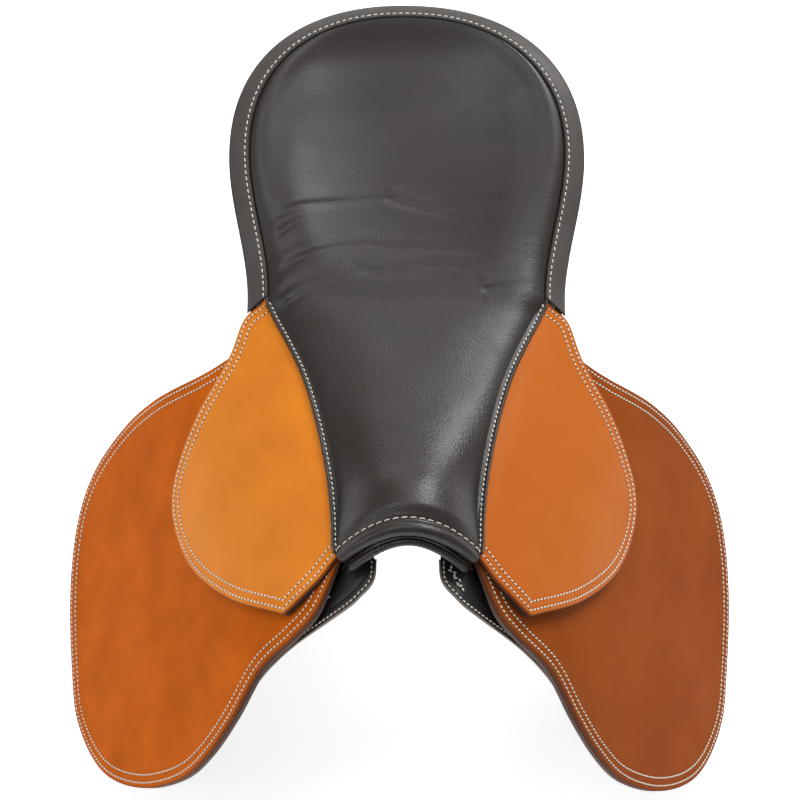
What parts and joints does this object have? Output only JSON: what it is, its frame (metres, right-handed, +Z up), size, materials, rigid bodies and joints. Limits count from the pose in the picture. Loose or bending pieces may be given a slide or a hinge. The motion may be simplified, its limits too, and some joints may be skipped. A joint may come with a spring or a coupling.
{
  "type": "exercise saddle",
  "caption": "English exercise saddle: padded seat on a sprung tree, skirts and flaps that lift, stirrup bars with hinged catches, girth straps and wool panels.",
  "frame": {"origin": "where the horse's spine lies under the middle of the seat, on the plane of symmetry", "axes": "+X to the side, -Y to the pommel (front), +Y to the cantle (rear), +Z up"},
  "size_m": [0.533, 0.5565, 0.3481],
  "materials": {
    "tan_skirt_leather": "smooth bridle leather, wax finish",
    "tan_flap_leather": "smooth bridle leather, wax finish",
    "seat_leather": "soft grained, satin",
    "black_leather": "smooth, satin",
    "lining_leather": "flesh side, matt",
    "strap_leather": "smooth, satin",
    "webbing": "woven, matt",
    "foam": "cut foam, matt",
    "laminated_beech": "lacquered",
    "steel": "satin"
  },
  "bodies": {
    "saddle": {"bar_rivet_front_left": "steel", "bar_rivet_front_right": "steel", "bar_rivet_rear_left": "steel", "bar_rivet_rear_right": "steel", "cantle_border": "black_leather", "cantle_facing": "black_leather", "catch_pin_left": "steel", "catch_pin_right": "steel", "flap_sewn_edge_left": "tan_flap_leather", "flap_sewn_edge_right": "tan_flap_leather", "girth_web_front_left": "webbing", "girth_web_front_right": "webbing", "girth_web_rear_left": "webbing", "girth_web_rear_right": "webbing", "gullet_plate": "steel", "head_plate": "steel", "panel_left": "black_leather", "panel_rear_bridge": "black_leather", "panel_right": "black_leather", "point_pocket_left": "black_leather", "point_pocket_right": "black_leather", "pommel_facing": "black_leather", "pommel_piping": "seat_leather", "pommel_roll": "seat_leather", "seat_cover": "seat_leather", "seat_foam": "foam", "seat_welt_left": "seat_leather", "seat_welt_right": "seat_leather", "skirt_sewn_edge_left": "tan_skirt_leather", "skirt_sewn_edge_right": "tan_skirt_leather", "stirrup_bar_left": "steel", "stirrup_bar_right": "steel", "strainer_web_left": "webbing", "strainer_web_right": "webbing", "sweat_flap_left": "black_leather", "sweat_flap_right": "black_leather", "tree": "laminated_beech", "tree_spring_left": "steel", "tree_spring_right": "steel"},
    "flap_left": {"flap_left": "tan_flap_leather", "flap_lining_left": "lining_leather"},
    "skirt_left": {"skirt_left": "tan_skirt_leather", "skirt_lining_left": "lining_leather"},
    "bar_catch_left": {"bar_catch_left": "steel"},
    "girth_strap_front_left": {"girth_strap_front_left": "strap_leather"},
    "girth_strap_rear_left": {"girth_strap_rear_left": "strap_leather"},
    "flap_right": {"flap_right": "tan_flap_leather", "flap_lining_right": "lining_leather"},
    "skirt_right": {"skirt_right": "tan_skirt_leather", "skirt_lining_right": "lining_leather"},
    "bar_catch_right": {"bar_catch_right": "steel"},
    "girth_strap_front_right": {"girth_strap_front_right": "strap_leather"},
    "girth_strap_rear_right": {"girth_strap_rear_right": "strap_leather"}
  },
  "joints": [
    {"name": "flap_left_lift", "type": "hinge", "parent": "saddle", "child": "flap_left", "pos_m": [-0.054, -0.244, 0.085], "axis": [-0.2504, 0.9677, -0.0289], "range_deg": [0, 100]},
    {"name": "skirt_left_lift", "type": "hinge", "parent": "flap_left", "child": "skirt_left", "pos_m": [-0.054, -0.244, 0.085], "axis": [-0.2504, 0.9677, -0.0289], "range_deg": [0, 50]},
    {"name": "bar_catch_left_turn", "type": "hinge", "parent": "saddle", "child": "bar_catch_left", "pos_m": [-0.08825, -0.15211, 0.06754], "axis": [0.6014, 0.1321, -0.788], "range_deg": [0, 90]},
    {"name": "girth_strap_front_left_sway", "type": "hinge", "parent": "saddle", "child": "girth_strap_front_left", "pos_m": [-0.12966, -0.1143, 0.03163], "axis": [0.7195, 0.166, -0.6744], "range_deg": [-12, 6]},
    {"name": "girth_strap_rear_left_sway", "type": "hinge", "parent": "saddle", "child": "girth_strap_rear_left", "pos_m": [-0.13968, -0.07559, 0.03047], "axis": [0.7195, 0.166, -0.6744], "range_deg": [-12, 6]},
    {"name": "flap_right_lift", "type": "hinge", "parent": "saddle", "child": "flap_right", "pos_m": [0.054, -0.244, 0.085], "axis": [-0.2504, -0.9677, 0.0289], "range_deg": [0, 100]},
    {"name": "skirt_right_lift", "type": "hinge", "parent": "flap_right", "child": "skirt_right", "pos_m": [0.054, -0.244, 0.085], "axis": [-0.2504, -0.9677, 0.0289], "range_deg": [0, 50]},
    {"name": "bar_catch_right_turn", "type": "hinge", "parent": "saddle", "child": "bar_catch_right", "pos_m": [0.08825, -0.15211, 0.06754], "axis": [0.6014, -0.1321, 0.788], "range_deg": [0, 90]},
    {"name": "girth_strap_front_right_sway", "type": "hinge", "parent": "saddle", "child": "girth_strap_front_right", "pos_m": [0.12966, -0.1143, 0.03163], "axis": [0.7195, -0.166, 0.6744], "range_deg": [-12, 6]},
    {"name": "girth_strap_rear_right_sway", "type": "hinge", "parent": "saddle", "child": "girth_strap_rear_right", "pos_m": [0.13968, -0.07559, 0.03047], "axis": [0.7195, -0.166, 0.6744], "range_deg": [-12, 6]}
  ],
  "couplings": [
    {"joint": "girth_strap_rear_left_sway", "follows": "girth_strap_front_left_sway", "ratio": 1},
    {"joint": "girth_strap_rear_right_sway", "follows": "girth_strap_front_right_sway", "ratio": 1}
  ]
}
